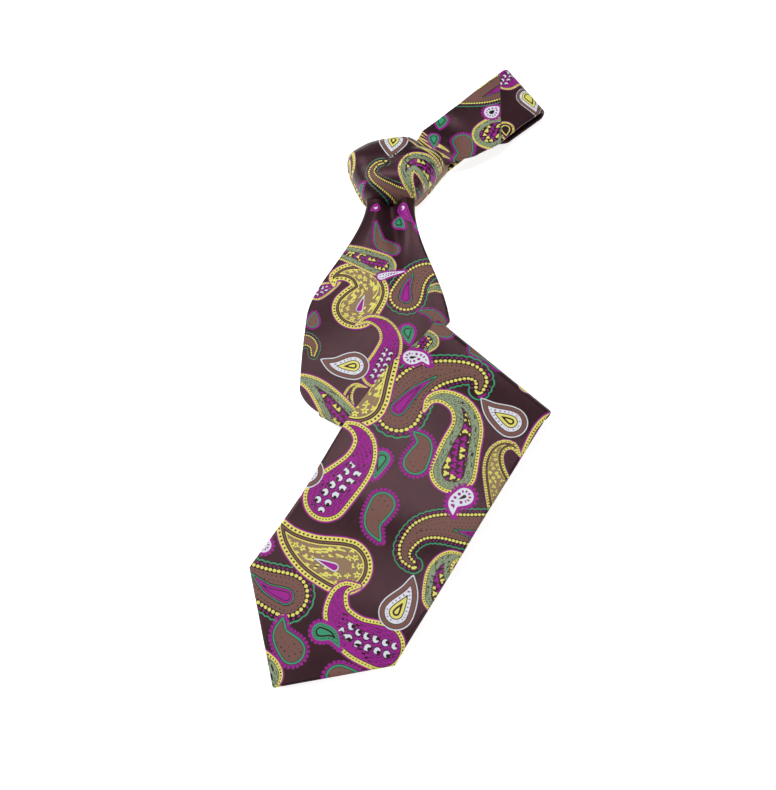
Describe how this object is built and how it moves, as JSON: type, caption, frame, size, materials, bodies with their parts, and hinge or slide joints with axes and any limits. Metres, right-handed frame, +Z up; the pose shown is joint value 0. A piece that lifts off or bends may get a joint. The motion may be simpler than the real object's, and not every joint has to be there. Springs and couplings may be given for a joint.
{
  "type": "necktie",
  "caption": "Silk necktie tied in a four-in-hand knot and laid flat, its neck loop closed and its front blade folded over itself.",
  "frame": {"origin": "middle of the outline, at the level of the surface the tie lies on", "axes": "+Y from the pointed tip towards the neck loop, +Z up from the surface, +X to the right seen from above with the neck loop away"},
  "size_m": [0.1808, 0.4112, 0.0279],
  "materials": {
    "silk": "satin jacquard silk, dark aubergine brown with a woven paisley",
    "interlining": "napped wool",
    "lining": "smooth twill",
    "thread": "silk thread"
  },
  "bodies": {
    "knot": {"knot_front_wrap": "silk", "knot_side_wrap": "silk", "knot_back_wrap": "silk", "knot_core": "silk"},
    "upper_blade": {"upper_blade_shell": "silk", "upper_blade_interlining": "interlining", "upper_blade_flaps": "silk", "lower_fold": "silk", "hidden_blade_shell": "silk", "hidden_blade_interlining": "interlining", "hidden_blade_flaps": "silk", "upper_fold": "silk"},
    "front_blade": {"front_blade_shell": "silk", "front_blade_interlining": "interlining", "front_blade_flaps": "silk", "front_slip_stitch": "thread", "keeper_loop": "lining"},
    "blade_tip": {"tip_shell": "silk", "tip_interlining": "interlining", "tip_flaps": "silk", "tip_lining": "lining", "tip_bar_tack": "thread"},
    "neck_near": {"neck_near_shell": "silk", "neck_near_interlining": "interlining", "neck_near_flaps": "silk"},
    "neck_far": {"neck_far_shell": "silk", "neck_far_interlining": "interlining", "neck_far_flaps": "silk", "neck_join_seam": "thread", "neck_fold": "silk"},
    "neck_back": {"neck_back_shell": "silk", "neck_back_interlining": "interlining", "neck_back_flaps": "silk"},
    "tail": {"tail_shell": "silk", "tail_interlining": "interlining", "tail_flaps": "silk", "tail_fold": "silk", "tail_end_shell": "silk", "tail_end_interlining": "interlining", "tail_end_flaps": "silk", "tail_lining": "lining", "tail_bar_tack": "thread"}
  },
  "joints": [
    {"name": "blade_lift", "type": "hinge", "parent": "knot", "child": "upper_blade", "pos_m": [-0.01367, 0.09029, 0.013], "axis": [-0.9994, 0.0349, 0], "range_deg": [0, 85]},
    {"name": "blade_unfold", "type": "hinge", "parent": "upper_blade", "child": "front_blade", "pos_m": [0.04452, -0.02538, 0.0118], "axis": [-0.7278, 0.6858, 0], "range_deg": [0, 170], "deforming": ["upper_fold"]},
    {"name": "tip_lift", "type": "hinge", "parent": "front_blade", "child": "blade_tip", "pos_m": [-0.01704, -0.11773, 0.016], "axis": [-0.8329, 0.5534, 0], "range_deg": [0, 75]},
    {"name": "loop_open", "type": "hinge", "parent": "knot", "child": "neck_near", "pos_m": [0.01602, 0.13726, 0.0119], "axis": [0.682, -0.7314, 0], "range_deg": [0, 45]},
    {"name": "loop_bend", "type": "hinge", "parent": "neck_near", "child": "neck_far", "pos_m": [0.0429, 0.16232, 0.0095], "axis": [0.682, -0.7314, 0], "range_deg": [-90, 0]},
    {"name": "loop_end", "type": "hinge", "parent": "neck_far", "child": "neck_back", "pos_m": [0.07087, 0.18841, 0.0067], "axis": [0.682, -0.7314, 0], "range_deg": [0, 45], "deforming": ["neck_fold"]},
    {"name": "tail_slide", "type": "slide", "parent": "knot", "child": "tail", "axis": [-0.0349, -0.9994, 0], "range_m": [0, 0.016]}
  ],
  "couplings": [
    {"joint": "loop_bend", "follows": "loop_open", "ratio": -2},
    {"joint": "loop_end", "follows": "loop_open", "ratio": 1}
  ]
}
